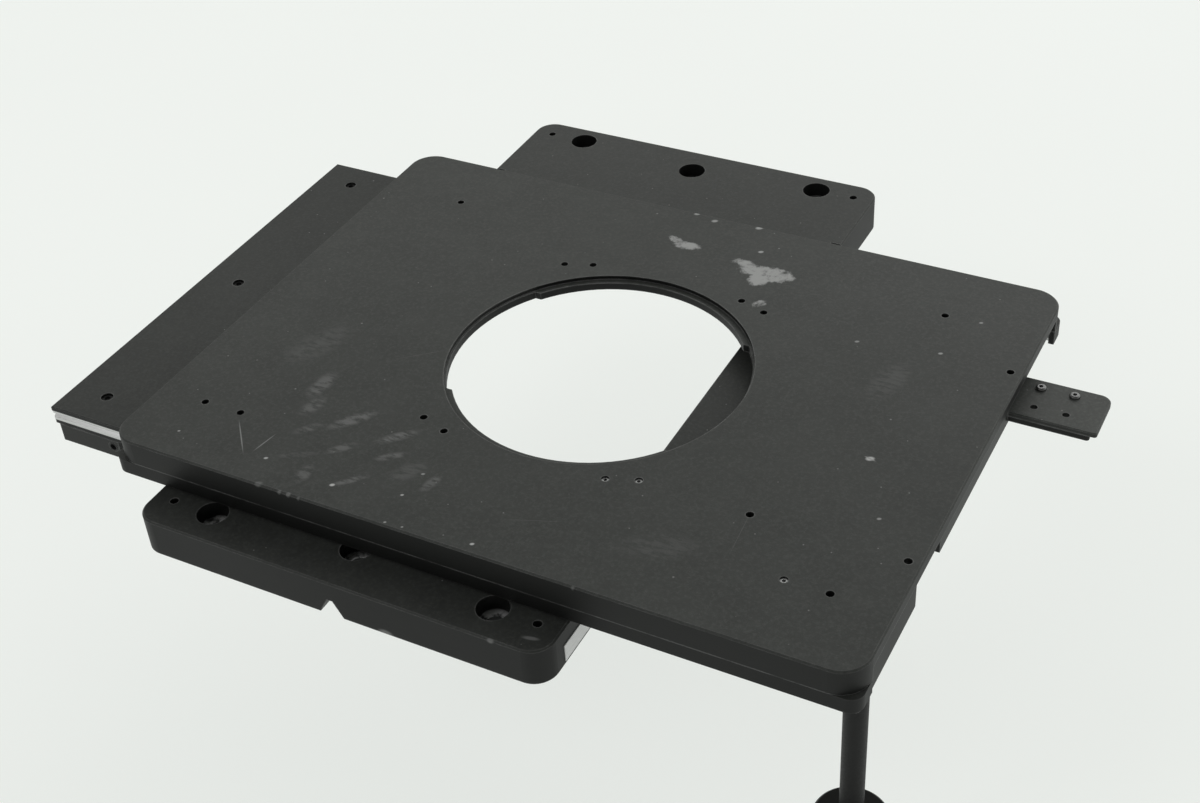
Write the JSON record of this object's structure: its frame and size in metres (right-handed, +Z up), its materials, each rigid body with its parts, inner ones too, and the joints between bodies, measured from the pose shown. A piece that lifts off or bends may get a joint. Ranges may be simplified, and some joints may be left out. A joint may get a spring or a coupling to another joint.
{
  "type": "microscope mechanical XY stage",
  "caption": "Large three-plate XY stage for an inverted microscope, matte black, with crossed-roller guides, a round insert opening and a hanging coaxial drive handle.",
  "frame": {"origin": "centre of the base plate's screw pattern at its underside", "axes": "+Z up, +X to the right (handle side), +Y to the back"},
  "size_m": [0.3358, 0.2859, 0.1466],
  "materials": {
    "black_anodised": "matte black anodised aluminium, lightly worn",
    "black_steel": "blackened steel, semi-matte",
    "ground_steel": "ground bearing steel",
    "bright_screws": "plain steel, satin",
    "black_screws": "black oxide steel",
    "bronze": "oiled bearing bronze",
    "gear_brass": "machined brass",
    "black_rubber": "matte black rubber",
    "black_plastic": "fine-textured black plastic",
    "plate_label": "blank satin aluminium plate"
  },
  "bodies": {
    "base": {"base_plate": "black_anodised", "name_plate": "plate_label", "y_rail_base_left": "ground_steel", "y_rail_base_right": "ground_steel", "y_rail_base_screws": "black_screws", "rack_bracket": "black_anodised", "rack_bracket_screws": "black_screws", "y_rack": "gear_brass"},
    "middle": {"middle_plate": "black_anodised", "x_rail_inner_front": "ground_steel", "x_rail_inner_back": "ground_steel", "x_rail_inner_screws": "black_screws", "y_beam_left": "black_anodised", "y_beam_right": "black_anodised", "y_rail_outer_left": "ground_steel", "y_rail_outer_right": "ground_steel", "y_rail_outer_screws": "black_screws", "left_cover": "black_anodised", "left_cover_screws": "black_screws", "left_beam": "black_anodised", "stop_buffers": "black_rubber", "side_bracket": "black_anodised", "side_bracket_stiffener": "black_anodised", "side_bracket_screws": "bright_screws", "drive_housing": "black_anodised", "drive_housing_screws": "black_screws", "column_tube": "black_steel", "column_screws": "black_screws", "sleeve_bush_upper": "bronze", "sleeve_bush_lower": "bronze", "shaft_bush_top": "bronze", "belt_guard": "black_anodised", "x_belt": "black_rubber", "idler_pin": "bright_screws"},
    "top": {"top_plate": "black_anodised", "edge_bar_front": "black_anodised", "edge_bar_back": "black_anodised", "edge_bar_screws": "black_screws", "x_rail_outer_front": "ground_steel", "x_rail_outer_back": "ground_steel", "x_rail_outer_screws": "black_screws", "top_grub_screws": "bright_screws", "belt_clamp": "black_anodised", "belt_clamp_screws": "black_screws"},
    "x_cages": {"x_cage_front": "gear_brass", "x_cage_back": "gear_brass", "x_rollers": "ground_steel"},
    "y_cages": {"y_cage_left": "gear_brass", "y_cage_right": "gear_brass", "y_rollers": "ground_steel"},
    "y_handle": {"y_knob": "black_plastic", "y_knob_set_screws": "black_screws", "y_sleeve": "ground_steel", "y_pinion": "gear_brass"},
    "x_handle": {"x_knob": "black_plastic", "x_knob_set_screws": "black_screws", "x_knob_cap": "black_plastic", "x_shaft": "ground_steel", "x_pulley": "gear_brass"},
    "x_idler": {"idler_pulley": "gear_brass"}
  },
  "joints": [
    {"name": "y_slide", "type": "slide", "parent": "base", "child": "middle", "axis": [0, 1, 0], "range_m": [-0.0002, 0.0508]},
    {"name": "x_slide", "type": "slide", "parent": "middle", "child": "top", "axis": [1, 0, 0], "range_m": [-0.0707, 0.0003]},
    {"name": "y_cage_roll", "type": "slide", "parent": "base", "child": "y_cages", "axis": [0, 1, 0], "range_m": [-0.0002, 0.0256]},
    {"name": "x_cage_roll", "type": "slide", "parent": "middle", "child": "x_cages", "axis": [1, 0, 0], "range_m": [-0.0355, 0.0003]},
    {"name": "y_knob_turn", "type": "hinge", "parent": "middle", "child": "y_handle", "pos_m": [0.1591, -0.094, 0], "axis": [0, 0, 1], "range_deg": [-5, 525]},
    {"name": "x_knob_turn", "type": "hinge", "parent": "middle", "child": "x_handle", "pos_m": [0.1591, -0.094, 0], "axis": [0, 0, 1], "range_deg": [-728, 6]},
    {"name": "x_idler_turn", "type": "hinge", "parent": "middle", "child": "x_idler", "pos_m": [-0.0864, -0.094, 0], "axis": [0, 0, 1], "range_deg": [-728, 6]}
  ],
  "couplings": [
    {"joint": "y_cage_roll", "follows": "y_slide", "ratio": 0.5},
    {"joint": "x_cage_roll", "follows": "x_slide", "ratio": 0.5},
    {"joint": "y_knob_turn", "follows": "y_slide", "rad_per_m": 178.57},
    {"joint": "x_knob_turn", "follows": "x_slide", "rad_per_m": 178.57},
    {"joint": "x_idler_turn", "follows": "x_slide", "rad_per_m": 178.57}
  ]
}
